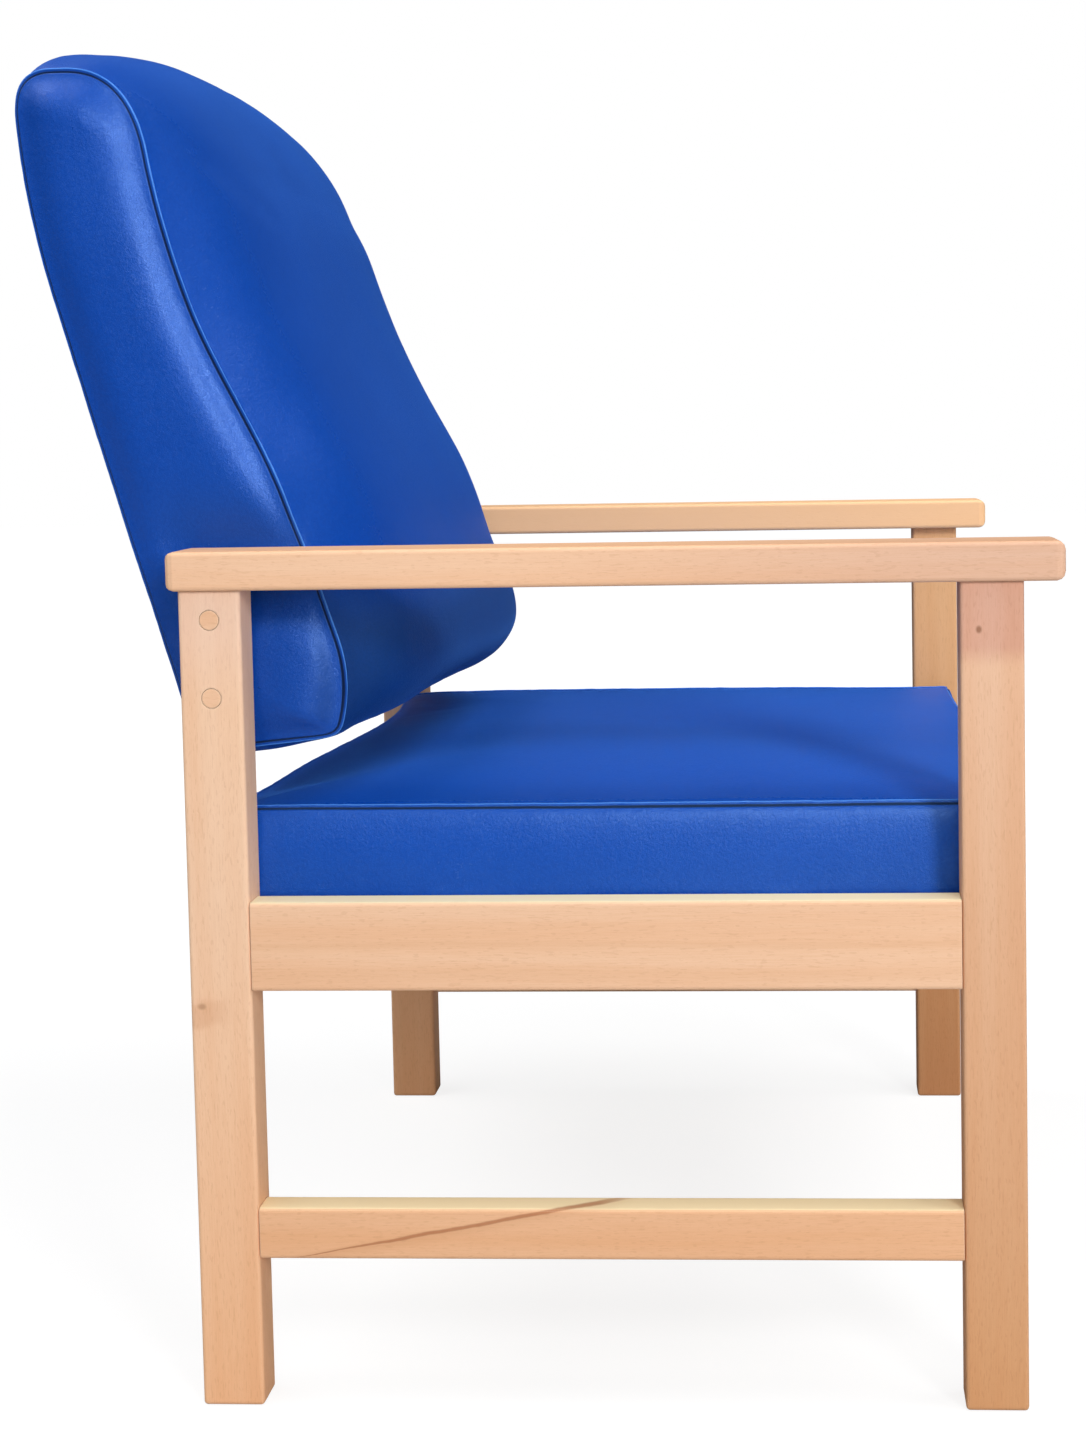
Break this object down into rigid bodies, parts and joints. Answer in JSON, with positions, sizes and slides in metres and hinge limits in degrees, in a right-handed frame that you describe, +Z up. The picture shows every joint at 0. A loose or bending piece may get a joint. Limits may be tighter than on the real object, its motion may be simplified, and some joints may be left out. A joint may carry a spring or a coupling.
{
  "type": "bariatric armchair",
  "caption": "Extra-wide high-back armchair with a beech frame, flat wooden arms, side stretchers and padded vinyl seat and back for heavy users.",
  "frame": {"origin": "on the floor, under the middle of the chair's overall box", "axes": "+Z up, -Y towards where the sitter faces, +X to the sitter's left"},
  "size_m": [0.81, 0.8038, 1.0778],
  "materials": {
    "beech": "pale steamed beech under a thin satin lacquer, with fine short flecks",
    "plywood": "bare sanded plywood",
    "blue_vinyl": "royal blue upholstery vinyl, satin, with a very fine grain",
    "zinc_steel": "bright zinc plated steel"
  },
  "bodies": {
    "root": {"front_leg_left": "beech", "front_leg_right": "beech", "rear_leg_left": "beech", "rear_leg_right": "beech", "arm_left": "beech", "arm_right": "beech", "arm_dowel_front_left_1": "beech", "arm_dowel_front_left_2": "beech", "arm_dowel_front_right_1": "beech", "arm_dowel_front_right_2": "beech", "arm_dowel_rear_left_1": "beech", "arm_dowel_rear_left_2": "beech", "arm_dowel_rear_right_1": "beech", "arm_dowel_rear_right_2": "beech", "side_rail_left": "beech", "side_rail_right": "beech", "stretcher_left": "beech", "stretcher_right": "beech", "front_rail": "beech", "rear_rail": "beech", "centre_rail": "beech", "seat_cleat_left": "beech", "seat_cleat_right": "beech", "corner_block_front_left": "beech", "corner_block_front_right": "beech", "corner_block_rear_left": "beech", "corner_block_rear_right": "beech", "block_screw_front_left": "zinc_steel", "block_screw_front_right": "zinc_steel", "block_screw_rear_left": "zinc_steel", "block_screw_rear_right": "zinc_steel", "seat_screw_front_left": "zinc_steel", "seat_screw_front_right": "zinc_steel", "seat_screw_rear_left": "zinc_steel", "seat_screw_rear_right": "zinc_steel", "seat_board": "plywood", "seat_cushion": "blue_vinyl", "back_cushion": "blue_vinyl", "back_board": "plywood", "back_stile_left": "beech", "back_stile_right": "beech", "back_bolt_upper_left": "zinc_steel", "back_bolt_upper_right": "zinc_steel", "back_bolt_lower_left": "zinc_steel", "back_bolt_lower_right": "zinc_steel", "back_insert_upper_left": "zinc_steel", "back_insert_upper_right": "zinc_steel", "back_insert_lower_left": "zinc_steel", "back_insert_lower_right": "zinc_steel", "back_plug_upper_left": "beech", "back_plug_upper_right": "beech", "back_plug_lower_left": "beech", "back_plug_lower_right": "beech"}
  },
  "joints": []
}
